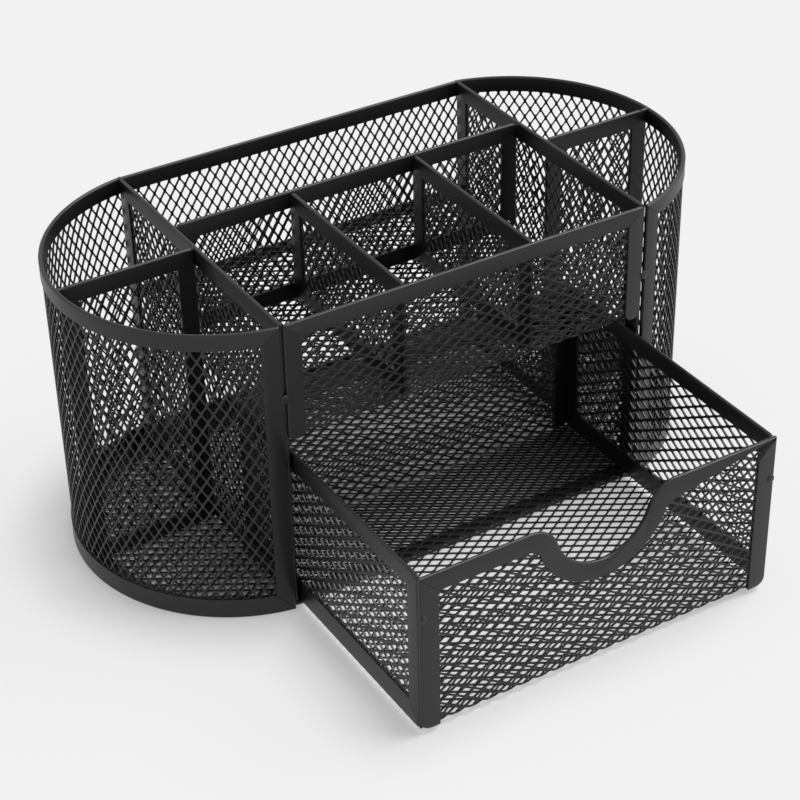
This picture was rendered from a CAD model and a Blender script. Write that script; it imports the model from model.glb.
from math import acos, asin, cos, degrees, pi, radians, sin, sqrt

import bmesh
import bpy
from mathutils import Matrix, Vector


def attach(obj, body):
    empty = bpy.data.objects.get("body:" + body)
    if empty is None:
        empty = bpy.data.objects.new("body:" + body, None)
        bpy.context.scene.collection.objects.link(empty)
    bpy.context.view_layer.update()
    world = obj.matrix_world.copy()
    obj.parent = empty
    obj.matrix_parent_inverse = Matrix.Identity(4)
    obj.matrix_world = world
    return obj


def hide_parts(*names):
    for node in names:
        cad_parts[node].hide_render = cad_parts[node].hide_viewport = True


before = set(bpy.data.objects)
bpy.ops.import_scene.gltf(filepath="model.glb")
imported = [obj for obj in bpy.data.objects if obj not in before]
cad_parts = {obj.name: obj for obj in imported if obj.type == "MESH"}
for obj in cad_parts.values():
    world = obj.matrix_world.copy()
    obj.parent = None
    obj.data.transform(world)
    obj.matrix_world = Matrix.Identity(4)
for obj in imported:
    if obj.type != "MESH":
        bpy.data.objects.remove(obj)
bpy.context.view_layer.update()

# Pen stand of coated expanded-steel net: a wall bent round two ends, eight open compartments and a drawer.
# Sizes are in millimetres, in the frame's own axes: X along the front, Y to the back, Z up. The origin is on
# the table, in the middle of the drawer bay's width and of the body's depth.
MM = 0.001

# --- The body ---
FLAT_LENGTH = 132.0        # straight front and back, between the rounded ends
BODY_DEPTH = 110.0
BODY_HEIGHT = 104.0
LEFT_BULGE = 46.0          # how far the left end stands out past the straight part
RIGHT_BULGE = 42.0
STRIP_T = 1.4              # a folded strip over its net
NET_T = 0.6
RIM_WIDTH = 5.5            # strip along the wall's top
FOOT_WIDTH = 7.0           # strip along the wall's foot
POST_WIDTH = 6.0           # strips up the wall's free ends
BASE_WIDTH = 6.5
DIVIDER_WIDTH = 6.0
FRONT_SIDE_WIDTH = 6.0
FRONT_TOP_WIDTH = 5.5
SHELF_Z = 63.5             # lower edge of the front panel
SHELF_FLANGE = 5.4         # turned-down back edge of the shelf
SHELF_STRIP_WIDTH = 4.4
PANEL_HALF = 64.8          # half the front panel's length
LONG_DIVIDER_Y = 16.0
SHORT_DIVIDER_X = 23.0
END_DIVIDER_Y = 0.5
CASE_WELD_Z = 79.0

# --- The drawer ---
DRAWER_FRONT = -126.0
DRAWER_TOP = 58.0
DRAWER_BOTTOM = 1.7
DRAWER_LENGTH = 107.9
DRAWER_WIDTH = 6.5         # strips of its front and back
DRAWER_STRIP_FOOT = 2.0    # height at which these end
DRAWER_SIDE_TOP = 6.0
DRAWER_SIDE_BOTTOM = 8.0
DRAWER_SIDE_END = 5.5
NOTCH_HALF = 26.0
NOTCH_DEPTH = 19.5
NOTCH_RADIUS = 17.0
DRAWER_WELD_Z = 43.0
DRAWER_WELD_IN = 1.3       # how far in from the front's side edges

# --- The net: one diamond of the expanded sheet ---
LONG_WAY = 6.1
SHORT_WAY = 3.75
SIDE_LONG = 6.75           # the drawer's sides are of a slightly coarser net
SIDE_SHORT = 4.1
OPEN_LONG = 0.74           # an opening's length over its diamond's
OPEN_SHORT = 0.75          # an opening's width over its diamond's
BLUNT = 0.10               # half the width of an opening's cut-off corners, over its diamond's
RIDGE = 0.06               # how far a strand's edges lie below its middle
FOLD_R = 1.7               # middle line of a fold in the net
SIDE_SHARE = 0.95          # an opening in the drawer's sides, over the same in the other nets
JOIN = 0.03                # points of two strands nearer than this are one point
STRAY = 0.1                # how far outside its area a diamond's middle may lie

# How far in from a net's edge the middles of its outermost diamonds lie, or what is added to half a diamond
FRAME_MARGIN = 0.25
WALL_MARGIN = 0.3
WALL_FOOT_MARGIN = 0.45
BASE_MARGIN = 0.35
SHELF_MARGIN = 0.4
FOLDED_NET_IN = 3.3        # the front panel's and the drawer front's top
PANEL_NET_HALF = 61.5
DRAWER_NET_HALF = 60.4
DRAWER_NET_END = 3.35
NOTCH_LEVEL = 36.0         # the drawer's net is a plain rectangle below this, clear of the notch

# --- Fit between pieces ---
SEAT_GAP = 0.1             # between pieces that are pushed together and welded
CURVED_GAP = 0.15          # the same against the curved wall
DRAWER_PLAY = 0.5          # free space each side of the drawer
MITRE_GAP = 0.16           # open line where two strips meet at a corner
CROSS_LAP = 0.35           # the cross dividers reach this far into the groove beside the front panel
TAB_LAP = 2.0              # how far inside the wall a divider's tab over the rim starts
TAB_REACH = 0.95           # how far past the wall's inside an end divider's tab goes
TAB_DROP = 0.03            # below the top edge
TAB_WIDTH = 3.0
TAB_THINNER = 0.12

# --- Corners of the strips ---
CORNER = 1.5
DIVIDER_TOP_CORNER = 2.0
CROSS_TOP_CORNER = 0.6
RIM_CORNER = 3.5           # where an end divider's top meets the wall
PANEL_CORNER = 1.2
PANEL_FOOT_RADIUS = 2.4
PANEL_FOOT_GAP = 0.2
DRAWER_FOOT_RADIUS = 2.8
CUT_BEVEL = 0.14           # along a strip's cut edge
CUT_DROP = 0.12
FOLD_TURNS = (0, 20, 42, 66, 90)
FOOT_TURNS = (22, 45, 68, 90)

HALF = FLAT_LENGTH / 2
FRONT = -BODY_DEPTH / 2
BACK = BODY_DEPTH / 2
LINE_REACH = 130.0         # straight lines to lay pieces on run this far each side of the middle
UP = (0.0, 0.0, 1.0)
ALONG = (1.0, 0.0, 0.0)
BACKWARDS = (0.0, 1.0, 0.0)


# --- Nodes ---

def add(tree, kind, inputs=(), **settings):
    """Adds a node with its settings; each input is a value or another node's output."""
    node = tree.nodes.new(kind)
    for key, value in settings.items():
        setattr(node, key, value)
    for key, value in dict(inputs).items():
        socket = node.inputs[key]
        if isinstance(value, bpy.types.NodeSocket):
            tree.links.new(value, socket)
        else:
            socket.default_value = value
    return node


def geometry_tree(name, sockets):
    """A tree with named inputs and one geometry out: the tree, its inputs node and its outputs node."""
    tree = bpy.data.node_groups.new(name, "GeometryNodeTree")
    tree.interface.new_socket("Geometry", in_out="INPUT", socket_type="NodeSocketGeometry")
    for label, kind in sockets:
        tree.interface.new_socket(label, in_out="INPUT", socket_type=kind)
    tree.interface.new_socket("Geometry", in_out="OUTPUT", socket_type="NodeSocketGeometry")
    return tree, add(tree, "NodeGroupInput"), add(tree, "NodeGroupOutput")


def lay_on_line():
    """Bends a flat piece over a line: its X follows the line, its Y runs across, its Z stands off it."""
    tree, given, out = geometry_tree("Lay on a line", [
        ("Line", "NodeSocketObject"), ("Across", "NodeSocketVector"), ("Finish", "NodeSocketMaterial")])
    line = add(tree, "GeometryNodeObjectInfo", {"Object": given.outputs["Line"]})
    flat = add(tree, "ShaderNodeSeparateXYZ", {0: add(tree, "GeometryNodeInputPosition").outputs[0]})
    at = add(tree, "GeometryNodeSampleCurve", {"Curves": line.outputs["Geometry"],
                                               "Length": flat.outputs["X"]}, mode="LENGTH")
    face = add(tree, "ShaderNodeVectorMath", {0: at.outputs["Tangent"], 1: given.outputs["Across"]},
               operation="CROSS_PRODUCT")
    face = add(tree, "ShaderNodeVectorMath", {0: face.outputs[0]}, operation="NORMALIZE")
    side = add(tree, "ShaderNodeVectorMath", {0: given.outputs["Across"], "Scale": flat.outputs["Y"]},
               operation="SCALE")
    side = add(tree, "ShaderNodeVectorMath", {0: side.outputs[0], 1: at.outputs["Position"]})
    lift = add(tree, "ShaderNodeVectorMath", {0: face.outputs[0], "Scale": flat.outputs["Z"]},
               operation="SCALE")
    place = add(tree, "ShaderNodeVectorMath", {0: side.outputs[0], 1: lift.outputs[0]})
    bent = add(tree, "GeometryNodeSetPosition", {"Geometry": given.outputs["Geometry"],
                                                 "Position": place.outputs[0]})
    done = add(tree, "GeometryNodeSetMaterial", {"Geometry": bent.outputs[0],
                                                 "Material": given.outputs["Finish"]})
    tree.links.new(done.outputs[0], out.inputs[0])
    return tree


def expanded_net(bend):
    """Fills a flat area with diamonds, joins their strands and bends the net over its line."""
    tree, given, out = geometry_tree("Expanded net", [
        ("Diamond", "NodeSocketObject"), ("Half pitch", "NodeSocketVector"), ("Thickness", "NodeSocketFloat"),
        ("Line", "NodeSocketObject"), ("Across", "NodeSocketVector"), ("Finish", "NodeSocketMaterial")])
    area = given.outputs["Geometry"]
    box = add(tree, "GeometryNodeBoundBox", {0: area})
    low, high = box.outputs["Min"], box.outputs["Max"]
    size = add(tree, "ShaderNodeVectorMath", {0: high, 1: low}, operation="SUBTRACT").outputs[0]
    count = add(tree, "ShaderNodeVectorMath", {0: size, 1: given.outputs["Half pitch"]}, operation="DIVIDE")
    count = add(tree, "ShaderNodeVectorMath", {0: count.outputs[0], 1: (0.5, 0.5, 0.5)})
    count = add(tree, "ShaderNodeVectorMath", {0: count.outputs[0]}, operation="FLOOR").outputs[0]
    step = add(tree, "ShaderNodeVectorMath", {0: size, 1: count}, operation="DIVIDE").outputs[0]
    points = add(tree, "ShaderNodeVectorMath", {0: count, 1: (1, 1, 1)}).outputs[0]
    sizes = add(tree, "ShaderNodeSeparateXYZ", {0: size})
    points = add(tree, "ShaderNodeSeparateXYZ", {0: points})
    grid = add(tree, "GeometryNodeMeshGrid", {
        "Size X": sizes.outputs["X"], "Size Y": sizes.outputs["Y"],
        "Vertices X": points.outputs["X"], "Vertices Y": points.outputs["Y"]}).outputs["Mesh"]
    middle = add(tree, "ShaderNodeVectorMath", {0: low, 1: high})
    middle = add(tree, "ShaderNodeVectorMath", {0: middle.outputs[0], "Scale": 0.5}, operation="SCALE")
    grid = add(tree, "GeometryNodeSetPosition", {"Geometry": grid, "Offset": middle.outputs[0]}).outputs[0]

    # Every second point of the grid is the middle of a diamond, where the area reaches it.
    here = add(tree, "GeometryNodeInputPosition").outputs[0]
    number = add(tree, "ShaderNodeVectorMath", {0: here, 1: low}, operation="SUBTRACT")
    number = add(tree, "ShaderNodeVectorMath", {0: number.outputs[0], 1: step}, operation="DIVIDE")
    number = add(tree, "ShaderNodeVectorMath", {0: number.outputs[0], 1: (0.5, 0.5, 0)})
    number = add(tree, "ShaderNodeVectorMath", {0: number.outputs[0]}, operation="FLOOR")
    number = add(tree, "ShaderNodeSeparateXYZ", {0: number.outputs[0]})
    total = add(tree, "ShaderNodeMath", {0: number.outputs["X"], 1: number.outputs["Y"]})
    odd = add(tree, "ShaderNodeMath", {0: total.outputs[0], 1: 2.0}, operation="FLOORED_MODULO")
    near = add(tree, "GeometryNodeProximity", {0: area, "Sample Position": here}, target_element="FACES")
    drop = add(tree, "ShaderNodeMath", {
        0: near.outputs["Distance"], 1: 0.5 / (STRAY * MM), 2: odd.outputs[0]}, operation="MULTIPLY_ADD")
    drop = add(tree, "FunctionNodeCompare", {0: drop.outputs[0], 1: 0.5}, operation="GREATER_THAN")
    grid = add(tree, "GeometryNodeDeleteGeometry", {"Geometry": grid, "Selection": drop.outputs[0]},
               domain="POINT").outputs[0]

    stretch = add(tree, "ShaderNodeVectorMath", {0: step, 1: given.outputs["Half pitch"]}, operation="DIVIDE")
    stretch = add(tree, "ShaderNodeSeparateXYZ", {0: stretch.outputs[0]})
    stretch = add(tree, "ShaderNodeCombineXYZ", {
        "X": stretch.outputs["X"], "Y": stretch.outputs["Y"], "Z": 1.0})
    diamond = add(tree, "GeometryNodeObjectInfo", {"Object": given.outputs["Diamond"]})
    net = add(tree, "GeometryNodeInstanceOnPoints", {
        "Points": grid, "Instance": diamond.outputs["Geometry"], "Scale": stretch.outputs[0]}).outputs[0]
    net = add(tree, "GeometryNodeRealizeInstances", {"Geometry": net}).outputs[0]
    net = add(tree, "GeometryNodeMergeByDistance", {"Geometry": net, "Distance": JOIN * MM}).outputs[0]

    # The cut edge of the net is closed by walls between its two faces.
    open_edge = add(tree, "GeometryNodeInputMeshEdgeNeighbors").outputs[0]
    open_edge = add(tree, "FunctionNodeCompare", {2: open_edge, 3: 1}, data_type="INT", operation="EQUAL")
    height = add(tree, "ShaderNodeSeparateXYZ", {0: add(tree, "GeometryNodeInputPosition").outputs[0]})
    upper = add(tree, "FunctionNodeCompare", {0: height.outputs["Z"], 1: 0.0}, operation="GREATER_THAN")
    chosen = add(tree, "FunctionNodeBooleanMath", {0: open_edge.outputs[0], 1: upper.outputs[0]})
    down = add(tree, "ShaderNodeMath", {0: given.outputs["Thickness"], 1: -1.0}, operation="MULTIPLY")
    down = add(tree, "ShaderNodeCombineXYZ", {"Z": down.outputs[0]})
    net = add(tree, "GeometryNodeExtrudeMesh", {
        "Mesh": net, "Selection": chosen.outputs[0], "Offset": down.outputs[0], "Offset Scale": 1.0},
        mode="EDGES").outputs["Mesh"]
    net = add(tree, "GeometryNodeMergeByDistance", {"Geometry": net, "Distance": JOIN * MM}).outputs[0]
    net = add(tree, "GeometryNodeSetShadeSmooth", {"Geometry": net}).outputs[0]
    bent = add(tree, "GeometryNodeGroup", node_tree=bend)
    for label, socket in (("Geometry", net), ("Line", given.outputs["Line"]),
                          ("Across", given.outputs["Across"]), ("Finish", given.outputs["Finish"])):
        tree.links.new(socket, bent.inputs[label])
    done = add(tree, "GeometryNodeSetMaterial", {"Geometry": bent.outputs[0],
                                                 "Material": given.outputs["Finish"]})
    tree.links.new(done.outputs[0], out.inputs[0])
    return tree


def shaped(obj, tree, values):
    """Runs a tree on a flat piece and keeps the result as the piece's own plain mesh."""
    modifier = obj.modifiers.new("shape", "NODES")
    modifier.node_group = tree
    for item in tree.interface.items_tree:
        if item.item_type == "SOCKET" and item.in_out == "INPUT" and item.name in values:
            modifier[item.identifier] = values[item.name]
    bpy.context.view_layer.update()
    graph = bpy.context.evaluated_depsgraph_get()
    mesh = bpy.data.meshes.new_from_object(obj.evaluated_get(graph), depsgraph=graph)
    obj.modifiers.clear()
    obj.data = mesh
    mesh.name = obj.name
    return obj


# --- Finishes ---
DRIFT = 28.0               # from a darker to a lighter patch of the coat
PEEL = 0.8                 # from crest to crest of the coat's orange peel
PEEL_HEIGHT = 0.05
ROUGHER, SMOOTHER = 0.07, 0.05    # how far the peel takes the coat's roughness up and down
CARD = "#f2f2f2"
BODY_CORE = 57.0           # the body's outline on the card is rounded round a line with this half length
DRAWER_SPOT = (-60.0, 64.0, 66.0)    # the open drawer on the card: middle in Y, half its width and length
DEEP_INSIDE = 8.0          # the shadow is deep this far inside the body's outline
SOFT_OUTSIDE = 3.0         # and soft this far outside it
SHADOW_REACH = 28.0        # the card is plain this far from body and drawer
PLAINER = 0.42             # what each of these two steps adds to the card's plainness


def linear(code):
    """An sRGB hex colour as linear red, green, blue and alpha."""
    parts = [int(code[i:i + 2], 16) / 255 for i in (1, 3, 5)]
    return tuple(c / 12.92 if c <= 0.04045 else ((c + 0.055) / 1.055) ** 2.4 for c in parts) + (1.0,)


def powder_coat(name, dark, light, rough, peel):
    """Satin black powder coat, baked on steel: a broad soft sheen broken up by fine orange peel."""
    material = bpy.data.materials.new(name)
    material.use_nodes = True
    tree = material.node_tree
    tree.nodes.clear()
    place = add(tree, "ShaderNodeTexCoord").outputs["Object"]
    # The film's thickness drifts over a few centimetres, which shades the black a little.
    drift = add(tree, "ShaderNodeTexNoise", {"Vector": place, "Scale": 1 / (DRIFT * MM), "Detail": 3.0})
    tone = add(tree, "ShaderNodeMix", {"Factor": drift.outputs["Fac"], 6: linear(dark), 7: linear(light)},
               data_type="RGBA")
    skin = add(tree, "ShaderNodeTexNoise", {"Vector": place, "Scale": 1 / (PEEL * MM), "Detail": 2.0})
    skin = skin.outputs["Fac"]
    gloss = add(tree, "ShaderNodeMapRange", {
        "Value": skin, "To Min": rough - SMOOTHER, "To Max": rough + ROUGHER})
    bump = add(tree, "ShaderNodeBump", {"Height": skin, "Strength": peel, "Distance": PEEL_HEIGHT * MM})
    coat = add(tree, "ShaderNodeBsdfPrincipled", {
        "Base Color": tone.outputs[2], "Roughness": gloss.outputs[0], "Normal": bump.outputs[0], "IOR": 1.5})
    out = add(tree, "ShaderNodeOutputMaterial")
    tree.links.new(coat.outputs[0], out.inputs["Surface"])
    return material


def paper_floor():
    """Matt white studio card, rolled flat: it takes a soft shadow and shows no texture."""
    material = bpy.data.materials.new("matt white studio card")
    material.use_nodes = True
    tree = material.node_tree
    tree.nodes.clear()
    card = add(tree, "ShaderNodeBsdfDiffuse", {"Color": linear(CARD)})
    plain = add(tree, "ShaderNodeEmission", {"Color": linear(CARD), "Strength": 1.0})
    rays = add(tree, "ShaderNodeLightPath").outputs
    seen = add(tree, "ShaderNodeMath", {0: rays["Is Camera Ray"], 1: rays["Is Glossy Ray"]},
               operation="MAXIMUM")
    # Away from the object the card is plain, near it the shadow is soft, and under it the shadow is deep.
    place = add(tree, "ShaderNodeTexCoord").outputs["Object"]

    def away(centre_y, half_x, half_y):
        """How far a place on the card is from a level box on the middle line."""
        spot = add(tree, "ShaderNodeVectorMath", {0: place, 1: (0, centre_y * MM, 0)}, operation="SUBTRACT")
        spot = add(tree, "ShaderNodeVectorMath", {0: spot.outputs[0]}, operation="ABSOLUTE")
        spot = add(tree, "ShaderNodeVectorMath", {0: spot.outputs[0], 1: (half_x * MM, half_y * MM, 0)},
                   operation="SUBTRACT")
        spot = add(tree, "ShaderNodeVectorMath", {0: spot.outputs[0], 1: (0, 0, 0)}, operation="MAXIMUM")
        return add(tree, "ShaderNodeVectorMath", {0: spot.outputs[0]}, operation="LENGTH").outputs["Value"]

    body = add(tree, "ShaderNodeMath", {0: away(0, BODY_CORE, 0), 1: BACK * MM}, operation="SUBTRACT")
    both = add(tree, "ShaderNodeMath", {0: body.outputs[0], 1: away(*DRAWER_SPOT)}, operation="MINIMUM")
    soft = add(tree, "ShaderNodeMapRange", {
        "Value": body.outputs[0], "From Min": -DEEP_INSIDE * MM, "From Max": SOFT_OUTSIDE * MM,
        "To Max": PLAINER}, interpolation_type="SMOOTHSTEP")
    plainer = add(tree, "ShaderNodeMapRange", {
        "Value": both.outputs[0], "From Min": 0.0, "From Max": SHADOW_REACH * MM, "To Max": PLAINER},
        interpolation_type="SMOOTHSTEP")
    share = add(tree, "ShaderNodeMath", {0: soft.outputs[0], 1: plainer.outputs[0]})
    share = add(tree, "ShaderNodeMath", {0: seen.outputs[0], 1: share.outputs[0]}, operation="MULTIPLY")
    face = add(tree, "ShaderNodeMixShader", {0: share.outputs[0], 1: card.outputs[0], 2: plain.outputs[0]})
    out = add(tree, "ShaderNodeOutputMaterial")
    tree.links.new(face.outputs[0], out.inputs["Surface"])
    return material


NET_COAT = powder_coat("powder coated expanded steel", "#0b0b0c", "#121213", rough=0.40, peel=0.3)
STRIP_COAT = powder_coat("powder coated folded steel strip", "#0c0c0d", "#131314", rough=0.38, peel=0.35)
WELD_COAT = powder_coat("powder coated weld bead", "#0c0c0d", "#131314", rough=0.36, peel=0.5)


# --- Making pieces ---
SAME_POINT = 0.002         # doubled points of one piece lie nearer than this
NET_SHARP = radians(50)    # edges that turn by more than this stay sharp: nets and beads
STRIP_SHARP = radians(32)
CORNER_STEPS = 4           # round half a strip's corner


def keep(obj, body, slot, *nodes):
    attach(obj, body)
    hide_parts(*nodes)
    return obj


def mesh_object(name, points, faces):
    mesh = bpy.data.meshes.new(name)
    mesh.from_pydata([Vector(p) * MM for p in points], [], faces)
    obj = bpy.data.objects.new(name, mesh)
    bpy.context.collection.objects.link(obj)
    return obj


def outwards(obj):
    """Joins doubled points and turns every face of a piece outwards."""
    work = bmesh.new()
    work.from_mesh(obj.data)
    bmesh.ops.remove_doubles(work, verts=work.verts, dist=SAME_POINT * MM)
    bmesh.ops.recalc_face_normals(work, faces=work.faces)
    work.to_mesh(obj.data)
    work.free()


def line_object(points):
    """A line to lay pieces on, as a curve of short straight runs."""
    curve = bpy.data.curves.new("line", "CURVE")
    curve.dimensions = "3D"
    spline = curve.splines.new("POLY")
    spline.points.add(len(points) - 1)
    for point, place in zip(spline.points, points):
        point.co = (*(Vector(place) * MM), 1.0)
    obj = bpy.data.objects.new("line", curve)
    bpy.context.collection.objects.link(obj)
    return obj


def line_x(y, z=0.0):
    return [(-LINE_REACH, y, z), (LINE_REACH, y, z)]


def line_y(x):
    return [(x, -LINE_REACH, 0), (x, LINE_REACH, 0)]


def line_down(y, top):
    return [(0, y, top), (0, y, 0)]


def length(points):
    return sum((Vector(b) - Vector(a)).length for a, b in zip(points, points[1:]))


def level(u0, u1, v, count=1):
    """Points in even steps along a flat piece, all at one place across."""
    return [(u0 + (u1 - u0) * i / count, v) for i in range(count + 1)]


def arc(centre, radius, start, end, step):
    """Points round a centre, from one angle to another in degrees, about a step apart."""
    count = max(3, round(abs(radians(end - start)) * radius / step))
    angles = [radians(start + (end - start) * i / count) for i in range(count + 1)]
    return [(centre[0] + radius * cos(a), centre[1] + radius * sin(a)) for a in angles]


def diamond_object(along, across, halved=False, share=1.0):
    """One diamond's four strands, flat, round its blunt-cornered opening.

    Strands halved along their length take a fold. The share makes the opening smaller.
    """
    a, b = along / 2, across / 2
    open_a, open_b = (OPEN_LONG, OPEN_SHORT) if along > across else (OPEN_SHORT, OPEN_LONG)
    open_a, open_b = open_a * share, open_b * share
    corners = [(a, 0), (0, b), (-a, 0), (0, -b)]
    ends = (0.0, 0.5, 1.0) if halved else (0.0, 1.0)
    points, faces = [], []

    def point(x, y, z):
        points.append((x, y, z))
        return len(points) - 1

    half = NET_T / 2
    loops = []
    for corner in range(4):
        (x0, y0), (x1, y1) = corners[corner], corners[(corner + 1) % 4]
        outer = [(x0 + (x1 - x0) * t, y0 + (y1 - y0) * t) for t in ends]
        first = (open_a * x0 + BLUNT * x1, open_b * y0 + BLUNT * y1)
        last = (open_a * x1 + BLUNT * x0, open_b * y1 + BLUNT * y0)
        inner = [(first[0] + (last[0] - first[0]) * t, first[1] + (last[1] - first[1]) * t) for t in ends]
        loops.append((outer, inner))
    sides = []
    for sign in (1, -1):
        rows = []
        for outer, inner in loops:
            ridge = [point(x, y, sign * half) for x, y in outer]
            edge = [point(x, y, sign * (half - RIDGE)) for x, y in inner]
            rows.append((ridge, edge))
        for k, (ridge, edge) in enumerate(rows):
            for i in range(len(edge) - 1):
                quad = [ridge[i], ridge[i + 1], edge[i + 1], edge[i]]
                faces.append(quad if sign > 0 else quad[::-1])
            after = rows[(k + 1) % 4]
            corner = [ridge[-1], after[1][0], edge[-1]]
            faces.append(corner if sign > 0 else corner[::-1])
        sides.append([i for _, edge in rows for i in edge])
    top, under = sides
    for i in range(len(top)):
        j = (i + 1) % len(top)
        faces.append([top[i], top[j], under[j], under[i]])
    obj = mesh_object("diamond", points, faces)
    work = bmesh.new()
    work.from_mesh(obj.data)
    bmesh.ops.remove_doubles(work, verts=work.verts, dist=SAME_POINT * MM)
    work.to_mesh(obj.data)
    work.free()
    return obj


BEND = lay_on_line()
NET = expanded_net(BEND)

# The ways a net lies on its line, each with its diamond's size along the line and across it
ACROSS = "long way across the line"
ACROSS_FOLDED = "long way across the line, with folds"
FORWARDS = "long way along the line"
COARSE = "long way along the line, in the drawer's sides"
PITCHES = {ACROSS: (SHORT_WAY, LONG_WAY), ACROSS_FOLDED: (SHORT_WAY, LONG_WAY),
           FORWARDS: (LONG_WAY, SHORT_WAY), COARSE: (SIDE_LONG, SIDE_SHORT)}
DIAMONDS = {way: diamond_object(*pitch, way == ACROSS_FOLDED, SIDE_SHARE if way == COARSE else 1.0)
            for way, pitch in PITCHES.items()}


def net_piece(name, area, line, across, way, body, *nodes):
    """A net over a flat area of diamond middles, laid on a line, in place of its CAD nodes."""
    points, faces = [], []
    for outline in area:
        faces.append(list(range(len(points), len(points) + len(outline))))
        points += [(u, v, 0) for u, v in outline]
    obj = mesh_object(name, points, faces)
    path = line_object(line)
    pitch = PITCHES[way]
    shaped(obj, NET, {"Diamond": DIAMONDS[way], "Half pitch": (pitch[0] / 2 * MM, pitch[1] / 2 * MM, 1.0),
                      "Thickness": NET_T * MM, "Line": path, "Across": across, "Finish": NET_COAT})
    bpy.data.objects.remove(path)
    obj.data.set_sharp_from_angle(angle=NET_SHARP)
    return keep(obj, body, "coated_net", *nodes)


def box(u0, v0, u1, v1):
    return [(u0, v0), (u1, v0), (u1, v1), (u0, v1)]


def section(width, thick):
    """A folded strip across: how far in from the fold, and half its thickness there."""
    r = thick / 2
    fold = [(r * (1 - cos(radians(a))), r * sin(radians(a))) for a in FOLD_TURNS]
    return fold + [(width - CUT_BEVEL, r), (width, r - CUT_DROP)]


def folded(outer, inner, thick=STRIP_T):
    """A strip folded over a net's edge, flat, between pairs of points on its fold line and its cut line.

    A strip whose fold line ends where it starts is a ring, with no ends to close.
    """
    points, rings = [], []
    for (u0, v0), (u1, v1) in zip(outer, inner):
        width = sqrt((u1 - u0) ** 2 + (v1 - v0) ** 2)
        upper = []
        for s, h in section(width, thick):
            t = s / width
            upper.append((u0 + (u1 - u0) * t, v0 + (v1 - v0) * t, h))
        ring = upper[::-1] + [(u, v, -h) for u, v, h in upper[1:]]
        rings.append(range(len(points), len(points) + len(ring)))
        points += ring
    faces = []
    for a, b in zip(rings, rings[1:]):
        n = len(a)
        faces += [[a[i], a[(i + 1) % n], b[(i + 1) % n], b[i]] for i in range(n)]
    if outer[0] != outer[-1]:
        faces += [list(rings[0])[::-1], list(rings[-1])]
    return points, faces


def strip_piece(name, strips, line, across, body, *nodes):
    """Folded strips laid on a line, as one piece in place of its CAD nodes."""
    points, faces = [], []
    for strip in strips:
        more, sides = folded(*strip)
        faces += [[i + len(points) for i in side] for side in sides]
        points += more
    obj = mesh_object(name, points, faces)
    outwards(obj)
    path = line_object(line)
    shaped(obj, BEND, {"Line": path, "Across": across, "Finish": STRIP_COAT})
    bpy.data.objects.remove(path)
    obj.data.shade_smooth()
    obj.data.set_sharp_from_angle(angle=STRIP_SHARP)
    return keep(obj, body, "coated_strip", *nodes)


def paired(outer, start, end):
    """Points of a strip's straight cut line, one for each point of its fold line."""
    a, b = Vector(outer[0]), Vector(outer[-1])
    run = (Vector(end) - Vector(start)).normalized()
    total = (b - a).dot(run)
    return [tuple(Vector(start).lerp(Vector(end), (Vector(p) - a).dot(run) / total)) for p in outer]


def footed(start, cut_start, x, cut_x, end, radius, both):
    """A strip that runs down from a mitre, rounded at the outer corner of its foot, or at both."""
    side = 1 if x > 0 else -1
    turns = [radians(a) for a in FOOT_TURNS]
    foot = [(end - radius + radius * sin(a), radius * (1 - cos(a))) for a in turns]
    outer = [(start, x), (end - radius, x)] + [(u, x - side * v) for u, v in foot]
    inner = [(cut_start, cut_x), (end - radius, cut_x)] + [(u, cut_x + side * v * both) for u, v in foot]
    return outer, inner


def mitred(corners, widths, radii, sides=(0, 1, 2, 3)):
    """The strips of a frame with these corners, counter-clockwise; radii round its outer corners."""
    inner = []
    for k in range(4):
        before, here, after = (Vector(corners[i % 4]) for i in (k - 1, k, k + 1))
        along, back = (after - here).normalized(), (before - here).normalized()
        inner.append(here + along * widths[(k - 1) % 4] + back * widths[k])
    strips = []
    for k in sides:
        here, there = Vector(corners[k]), Vector(corners[(k + 1) % 4])
        along = (there - here).normalized()
        inward = Vector((-along.y, along.x))
        outer = []
        for corner, radius, sign in ((here, radii[k], 1), (there, radii[(k + 1) % 4], -1)):
            part = []
            if radius > 0:
                centre = corner + along * sign * radius + inward * radius
                for i in range(CORNER_STEPS + 1):
                    a = radians(45 * (1 - i / CORNER_STEPS))
                    part.append(centre - along * sign * radius * sin(a) - inward * radius * cos(a))
            else:
                part.append(corner)
            outer += part if sign > 0 else part[::-1]
        ease = along * MITRE_GAP / 2
        start, end = inner[k] + ease, inner[(k + 1) % 4] - ease
        outer[0] = outer[0] + ease
        outer[-1] = outer[-1] - ease
        outer = [tuple(p) for p in outer]
        strips.append((outer, paired(outer, start, end)))
    return strips


def framed_panel(name, line, low, high, radii, body, widths=(DIVIDER_WIDTH,) * 4, way=ACROSS, tabs=()):
    """An upright flat net with a mitred frame, between two corners given as X or Y and Z.

    Widths start at the foot and radii at its first corner. Tabs carry the top strip on over the rim
    of the wall, from one X or Y to another.
    """
    (u0, v0), (u1, v1) = low, high
    u0, u1 = u0 + LINE_REACH, u1 + LINE_REACH
    strips = mitred(box(u0, v0, u1, v1), widths, radii)
    for a, b in tabs:
        a, b = a + LINE_REACH, b + LINE_REACH
        strips.append((level(a, b, v1 - TAB_DROP), level(a, b, v1 - TAB_WIDTH), STRIP_T - TAB_THINNER))
    strip_piece(f"{name}_folded_frame", strips, line, UP, body, f"{name}_frame")
    pitch = PITCHES[way]
    near, far = pitch[0] / 2 + FRAME_MARGIN, pitch[1] / 2 + FRAME_MARGIN
    area = box(u0 + near, v0 + far, u1 - near, v1 - far)
    net_piece(f"{name}_net", [area], line, UP, way, body, f"{name}_mesh")


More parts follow.
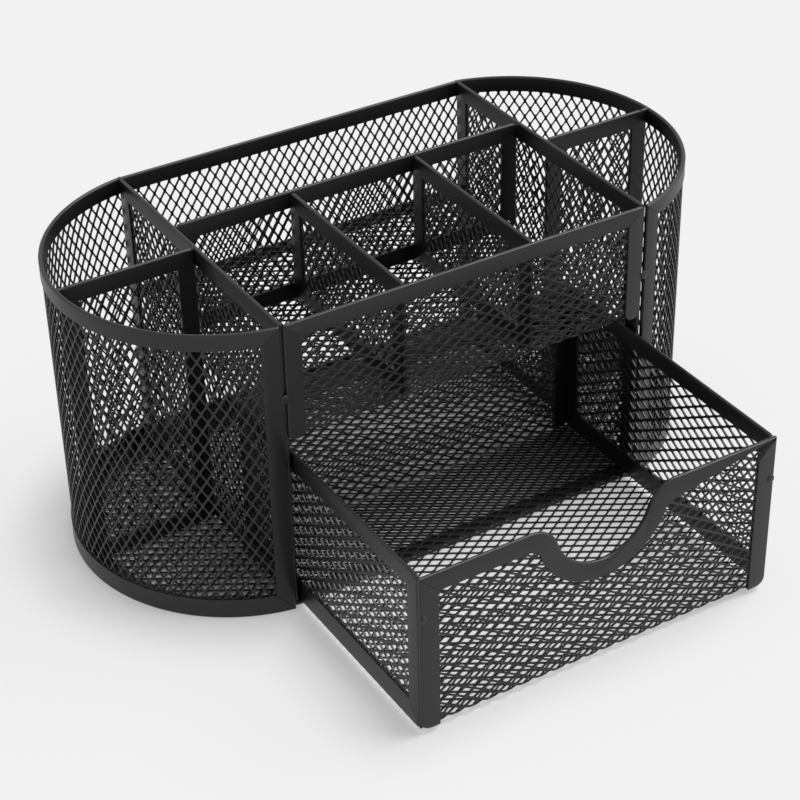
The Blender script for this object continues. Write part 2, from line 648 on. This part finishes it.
# --- The wall ---
WALL_STEP = 0.8            # between points round the wall's ends
RIM_STEPS = 420            # along the whole wall
BACK_STEPS = 60            # along its straight back
WALL_SPARE = 0.3           # the line to lay the wall on runs this far past its ends


class End:
    """One rounded end of the body, as an arc."""

    def __init__(self, side, bulge):
        self.side = side
        self.radius = (BACK**2 + bulge**2) / (2 * bulge)
        self.x = side * (HALF + bulge - self.radius)
        self.half_angle = asin(BACK / self.radius)

    def reach(self, inset, y):
        return self.x + self.side * sqrt((self.radius - inset) ** 2 - y**2)


LEFT, RIGHT = End(-1, LEFT_BULGE), End(1, RIGHT_BULGE)


def wall_line():
    """The middle of the wall in plan, from its right free end round the back to its left one."""
    inset = STRIP_T / 2
    arcs = {}
    for end in (RIGHT, LEFT):
        radius = end.radius - inset
        first, last = degrees(end.half_angle), degrees(asin((BACK - inset) / radius))
        start, stop = (-first, last) if end.side > 0 else (180 - last, 180 + first)
        arcs[end.side] = arc((end.x, 0), radius, start, stop, WALL_STEP)
    right, left = arcs[1], arcs[-1]
    straight = level(right[-1][0], left[0][0], BACK - inset, BACK_STEPS)[1:-1]
    line = [Vector((x, y, 0)) for x, y in right + straight + left]
    line[0] += (line[0] - line[1]).normalized() * WALL_SPARE
    line[-1] += (line[-1] - line[-2]).normalized() * WALL_SPARE
    return line


ease = MITRE_GAP / 2
wall = wall_line()
wall_end = length(wall)
side_in = SHORT_WAY / 2 + WALL_MARGIN
wall_area = box(side_in, LONG_WAY / 2 + WALL_FOOT_MARGIN,
                wall_end - side_in, BODY_HEIGHT - LONG_WAY / 2 - WALL_MARGIN)
net_piece("wall_net", [wall_area], wall, UP, ACROSS, "case", "wall_mesh")
first, last = POST_WIDTH + ease, wall_end - POST_WIDTH - ease
strip_piece("wall_top_rim_strip", [(level(wall_end - ease, ease, BODY_HEIGHT, RIM_STEPS),
                                    level(last, first, BODY_HEIGHT - RIM_WIDTH, RIM_STEPS))],
            wall, UP, "case", "wall_top_rim")
strip_piece("wall_foot_rim_strip", [(level(ease, wall_end - ease, 0.0, RIM_STEPS),
                                     level(first, last, FOOT_WIDTH, RIM_STEPS))],
            wall, UP, "case", "wall_foot_rim")
for name, edge, side in (("right", 0.0, 1), ("left", wall_end, -1)):
    cut = edge + side * POST_WIDTH
    strip_piece(f"{name}_post_folded_strip",
                [([(edge, ease), (edge, BODY_HEIGHT - ease)],
                  [(cut, FOOT_WIDTH + ease), (cut, BODY_HEIGHT - RIM_WIDTH - ease)])],
                wall, UP, "case", f"{name}_post_strip")

# --- The base ---
BASE_STEPS = 80            # round each end


def base_outline(inset):
    """The base in plan on its line, this far in from the wall's inside and from the bay's front."""
    gap = STRIP_T + CURVED_GAP + inset
    front_y = FRONT + STRIP_T - NET_T + inset
    shape = []
    for end in (RIGHT, LEFT):
        radius = end.radius - gap
        first, last = asin(front_y / radius), asin((BACK - gap) / radius)
        turns = [first + (last - first) * i / BASE_STEPS for i in range(BASE_STEPS + 1)]
        points = [(LINE_REACH + end.x + end.side * radius * cos(a), radius * sin(a)) for a in turns]
        shape += points if end.side > 0 else points[::-1]
    return shape


outer, inner = base_outline(0), base_outline(BASE_WIDTH)
base_line = line_x(0, STRIP_T / 2)
net_piece("base_net", [base_outline(LONG_WAY / 2 + BASE_MARGIN)], base_line, BACKWARDS, FORWARDS,
          "case", "base_mesh")
strip_piece("base_edge_folded_strip", [(outer + outer[:1], inner + inner[:1])],
            base_line, BACKWARDS, "case", "base_edge_strip")

# --- Dividers ---
inner_back, panel_back = BACK - STRIP_T, FRONT + STRIP_T
divider_outer = min(abs(end.x + end.side * (HALF - abs(end.x)) * (end.radius - STRIP_T) / end.radius)
                    for end in (LEFT, RIGHT)) - CURVED_GAP
divider_x = divider_outer - STRIP_T / 2
bay_half = divider_outer - STRIP_T
shelf_top = SHELF_Z + NET_T
small_radii = (CORNER, CORNER, DIVIDER_TOP_CORNER, DIVIDER_TOP_CORNER)

for side, name in ((-1, "left"), (1, "right")):
    framed_panel(f"{name}_cross_divider", line_y(side * divider_x), (panel_back - CROSS_LAP, STRIP_T),
                 (inner_back, BODY_HEIGHT), (CORNER, CORNER, CROSS_TOP_CORNER, CROSS_TOP_CORNER), "case",
                 tabs=[(inner_back - TAB_LAP, BACK - SEAT_GAP)])
    framed_panel(f"{name}_short_divider", line_y(side * SHORT_DIVIDER_X), (panel_back, shelf_top + SEAT_GAP),
                 (LONG_DIVIDER_Y - STRIP_T / 2, BODY_HEIGHT), small_radii, "case")
    end = LEFT if side < 0 else RIGHT
    wall_x = end.reach(STRIP_T, END_DIVIDER_Y) - side * CURVED_GAP
    low, high = sorted((side * divider_outer, wall_x))
    top_radii = (RIM_CORNER, CORNER) if side > 0 else (CORNER, RIM_CORNER)
    framed_panel(f"{name}_end_divider", line_x(END_DIVIDER_Y), (low, STRIP_T), (high, BODY_HEIGHT),
                 (CORNER, CORNER, *top_radii), "case",
                 tabs=[sorted((wall_x - side * TAB_LAP, wall_x + side * TAB_REACH))])
shelf_half = bay_half - SEAT_GAP
framed_panel("long_divider", line_x(LONG_DIVIDER_Y), (-shelf_half, shelf_top + SEAT_GAP),
             (shelf_half, BODY_HEIGHT), small_radii, "case")


# --- Front panel and shelf ---
FOLD_STEPS = 8             # round each fold of a net
SHELF_STRIP_DROP = 0.4     # how far the strip hangs below the shelf's back edge


def folded_line(stops, radius):
    """A line in Y and Z through the stops, rounded at each turn, as points in space."""
    line = [stops[0]]
    for before, here, after in zip(stops, stops[1:], stops[2:]):
        here = Vector(here)
        a, b = (Vector(before) - here).normalized(), (Vector(after) - here).normalized()
        centre = here + (a + b) * radius
        for i in range(FOLD_STEPS + 1):
            t = radians(90 * i / FOLD_STEPS)
            line.append(tuple(centre - b * radius * cos(t) - a * radius * sin(t)))
    line.append(stops[-1])
    return [(0.0, y, z) for y, z in line]


front_y = FRONT + STRIP_T / 2
flange_y = inner_back - STRIP_T / 2
shelf_mid = SHELF_Z + NET_T / 2
front_line = folded_line([(front_y, BODY_HEIGHT), (front_y, shelf_mid), (flange_y, shelf_mid),
                          (flange_y, shelf_top - SHELF_FLANGE)], FOLD_R)
front_area = box(FOLDED_NET_IN, -PANEL_NET_HALF, length(front_line) - SHELF_MARGIN - SHORT_WAY / 2,
                 PANEL_NET_HALF)
net_piece("front_panel_and_shelf_net", [front_area], front_line, ALONG, ACROSS_FOLDED, "case",
          "front_panel_mesh", "shelf_mesh")
panel_line = line_down(front_y, BODY_HEIGHT)
drop = BODY_HEIGHT - SHELF_Z
top_strip = mitred(box(0, -PANEL_HALF, drop, PANEL_HALF),
                   (FRONT_SIDE_WIDTH, FRONT_SIDE_WIDTH, FRONT_SIDE_WIDTH, FRONT_TOP_WIDTH),
                   (PANEL_CORNER, 0, 0, PANEL_CORNER), sides=(3,))
strip_piece("front_top_folded_strip", top_strip, panel_line, ALONG, "case", "front_top_strip")
for side, name in ((-1, "left"), (1, "right")):
    strip = footed(ease, FRONT_TOP_WIDTH + ease, side * PANEL_HALF, side * (PANEL_HALF - FRONT_SIDE_WIDTH),
                   drop - PANEL_FOOT_GAP, PANEL_FOOT_RADIUS, both=True)
    strip_piece(f"front_{name}_folded_strip", [strip], panel_line, ALONG, "case", f"front_{name}_strip")
low = shelf_top - SHELF_FLANGE - SHELF_STRIP_DROP
first, last = LINE_REACH - shelf_half, LINE_REACH + shelf_half
strip = level(first, last, low), level(first, last, low + SHELF_STRIP_WIDTH)
strip_piece("shelf_back_folded_strip", [strip], line_x(flange_y), UP, "case", "shelf_back_strip")

# --- Drawer ---
NOTCH_STEP = 1.2           # between points round the notch's bottom
SHOULDER_STEP = 0.8        # between points round its shoulders
drawer_half = bay_half - DRAWER_PLAY
drawer_back = DRAWER_FRONT + DRAWER_LENGTH
shoulder = (NOTCH_HALF**2 + NOTCH_DEPTH**2) / (2 * NOTCH_DEPTH) - NOTCH_RADIUS
notch_angle = degrees(acos((NOTCH_RADIUS + shoulder - NOTCH_DEPTH) / (NOTCH_RADIUS + shoulder)))


def notched_edge(inset):
    """The drawer front's top edge with its finger notch, this far in, as drop and X."""
    bottom = arc((0, NOTCH_DEPTH - NOTCH_RADIUS), NOTCH_RADIUS + inset, 90, 90 - notch_angle, NOTCH_STEP)
    turn = arc((NOTCH_HALF, shoulder), shoulder - inset, -90 - notch_angle, -90,
               SHOULDER_STEP * (shoulder - inset) / shoulder)
    right = [(y, x) for x, y in bottom + turn[1:]] + [(inset, drawer_half - inset)]
    return [(u, -v) for u, v in right[:0:-1]] + right


y_front, y_back = DRAWER_FRONT + STRIP_T / 2, drawer_back - STRIP_T / 2
z_floor = DRAWER_BOTTOM + NET_T / 2
drawer_line = folded_line([(y_front, DRAWER_TOP), (y_front, z_floor), (y_back, z_floor),
                           (y_back, DRAWER_TOP)], FOLD_R)
edge = [(u, max(-DRAWER_NET_HALF, min(DRAWER_NET_HALF, v))) for u, v in notched_edge(FOLDED_NET_IN)]
area = [[(u0, v0), (NOTCH_LEVEL, v0), (NOTCH_LEVEL, v1), (u1, v1)]
        for (u0, v0), (u1, v1) in zip(edge, edge[1:]) if v1 > v0]
area.append(box(NOTCH_LEVEL - 1, -DRAWER_NET_HALF, length(drawer_line) - DRAWER_NET_END, DRAWER_NET_HALF))
net_piece("drawer_front_floor_and_back_net", area, drawer_line, ALONG, ACROSS_FOLDED, "drawer",
          "drawer_sheet_mesh")


def eased(points):
    """A strip's line with its two ends drawn in by half a mitre's gap."""
    (u0, v0), (u1, v1) = points[0], points[-1]
    return [(u0, v0 + ease)] + points[1:-1] + [(u1, v1 - ease)]


strip_piece("drawer_front_hem", [(eased(notched_edge(0)), eased(notched_edge(DRAWER_WIDTH)))],
            line_down(y_front, DRAWER_TOP), ALONG, "drawer", "drawer_front_top_strip")
for place, y in (("front", y_front), ("back", y_back)):
    for side, name in ((-1, "left"), (1, "right")):
        strip = footed(ease, DRAWER_WIDTH + ease, side * drawer_half, side * (drawer_half - DRAWER_WIDTH),
                       DRAWER_TOP - DRAWER_STRIP_FOOT, DRAWER_FOOT_RADIUS, both=False)
        strip_piece(f"drawer_{place}_{name}_folded_strip", [strip], line_down(y, DRAWER_TOP), ALONG, "drawer",
                    f"drawer_{place}_{name}_strip")
fold, cut = drawer_half, drawer_half - DRAWER_WIDTH
strip_piece("drawer_back_top_folded_strip",
            [(eased([(0, -fold), (0, fold)]), eased([(DRAWER_WIDTH, -cut), (DRAWER_WIDTH, cut)]))],
            line_down(y_back, DRAWER_TOP), ALONG, "drawer", "drawer_back_top_strip")
for side, name in ((-1, "left"), (1, "right")):
    framed_panel(f"drawer_{name}_side", line_y(side * (drawer_half - STRIP_T / 2)),
                 (DRAWER_FRONT + STRIP_T, DRAWER_BOTTOM), (drawer_back - STRIP_T, DRAWER_TOP), (CORNER,) * 4,
                 "drawer", (DRAWER_SIDE_BOTTOM, DRAWER_SIDE_END, DRAWER_SIDE_TOP, DRAWER_SIDE_END), COARSE)


# --- Welds ---
BEAD_RINGS = ((1.3, 0.0), (1.22, 0.16), (0.9, 0.28), (0.45, 0.34))    # radius and height above the strip
BEAD_SIDES = 20
BEAD_TALLER = 1.1          # a bead's height over its width


def weld_beads(name, places, body, node):
    """Spot welds: flat domed beads on the front faces."""
    points, faces = [], []
    for x, y, z in places:
        rings = []
        for radius, height in BEAD_RINGS:
            rings.append(range(len(points), len(points) + BEAD_SIDES))
            for i in range(BEAD_SIDES):
                a = 2 * pi * i / BEAD_SIDES
                points.append((x + radius * cos(a), y - height, z + radius * sin(a) * BEAD_TALLER))
        for a, b in zip(rings, rings[1:]):
            faces += [[a[i - 1], a[i], b[i], b[i - 1]] for i in range(BEAD_SIDES)]
        faces += [list(rings[0]), list(rings[-1])]
    obj = mesh_object(name, points, faces)
    outwards(obj)
    obj.data.materials.append(WELD_COAT)
    obj.data.shade_smooth()
    obj.data.set_sharp_from_angle(angle=NET_SHARP)
    return keep(obj, body, "coated_weld", node)


groove_x = (HALF + PANEL_HALF) / 2
weld_x = drawer_half - DRAWER_WELD_IN
weld_beads("case_weld_beads", [(side * groove_x, FRONT, CASE_WELD_Z) for side in (-1, 1)],
           "case", "case_weld_spots")
weld_beads("drawer_weld_beads", [(side * weld_x, DRAWER_FRONT, DRAWER_WELD_Z) for side in (-1, 1)],
           "drawer", "drawer_weld_spots")
for diamond in DIAMONDS.values():
    bpy.data.objects.remove(diamond)

# --- Floor, light and camera ---
CARD_HALF = 4000.0
AMBIENT = 0.42             # the world's strength as light, against 1 as the pale background
card = mesh_object("studio_floor", [(x, y, 0) for x, y in box(-CARD_HALF, -CARD_HALF, CARD_HALF, CARD_HALF)],
                   [[0, 1, 2, 3]])
card.data.materials.append(paper_floor())

world = bpy.data.worlds.new("studio")
bpy.context.scene.world = world
world.use_nodes = True
tree = world.node_tree
tree.nodes.clear()
rays = add(tree, "ShaderNodeLightPath").outputs
seen = add(tree, "ShaderNodeMath", {0: rays["Is Camera Ray"], 1: rays["Is Glossy Ray"]}, operation="MAXIMUM")
strength = add(tree, "ShaderNodeMapRange", {"Value": seen.outputs[0], "To Min": AMBIENT, "To Max": 1.0})
sky = add(tree, "ShaderNodeBackground", {"Color": linear(CARD), "Strength": strength.outputs[0]})
tree.links.new(sky.outputs[0], add(tree, "ShaderNodeOutputWorld").inputs["Surface"])


def lamp(name, direction, strength, width):
    """A broad soft lamp, as a far light of this apparent width in degrees."""
    light = bpy.data.lights.new(name, "SUN")
    light.energy = strength
    light.angle = radians(width)
    obj = bpy.data.objects.new(name, light)
    obj.rotation_euler = Vector(direction).to_track_quat("Z", "Y").to_euler()
    bpy.context.collection.objects.link(obj)


lamp("key_lamp", (0.8, -0.15, 1.25), strength=2.25, width=40)
lamp("low_lamp", (0.9, -0.5, 0.3), strength=0.5, width=40)

# The camera looks at a point inside the stand, from the left and above, and is fitted to the photograph.
LOOKED_AT = (0, -10, 45)
DISTANCE = 720.02
SHIFT_RIGHT, SHIFT_UP = 0.46, -12.72
TURN, TILT, ROLL = -30.69, 33.77, -1.38
camera = bpy.data.cameras.new("camera")
camera.lens = 98.2
camera.sensor_width = 36.0
camera.clip_end = 50.0
view = bpy.data.objects.new("camera", camera)
turn, tilt, roll = radians(TURN), radians(TILT), radians(ROLL)
back = Vector((sin(turn) * cos(tilt), -cos(turn) * cos(tilt), sin(tilt)))
right = Vector((cos(turn), sin(turn), 0))
up = back.cross(right)
place = (Vector(LOOKED_AT) + back * DISTANCE + right * SHIFT_RIGHT + up * SHIFT_UP) * MM
right, up = right * cos(roll) + up * sin(roll), up * cos(roll) - right * sin(roll)
view.matrix_world = Matrix((
    (right.x, up.x, back.x, place.x), (right.y, up.y, back.y, place.y),
    (right.z, up.z, back.z, place.z), (0, 0, 0, 1)))
bpy.context.collection.objects.link(view)
bpy.context.scene.camera = view
bpy.context.scene.view_settings.view_transform = "Standard"
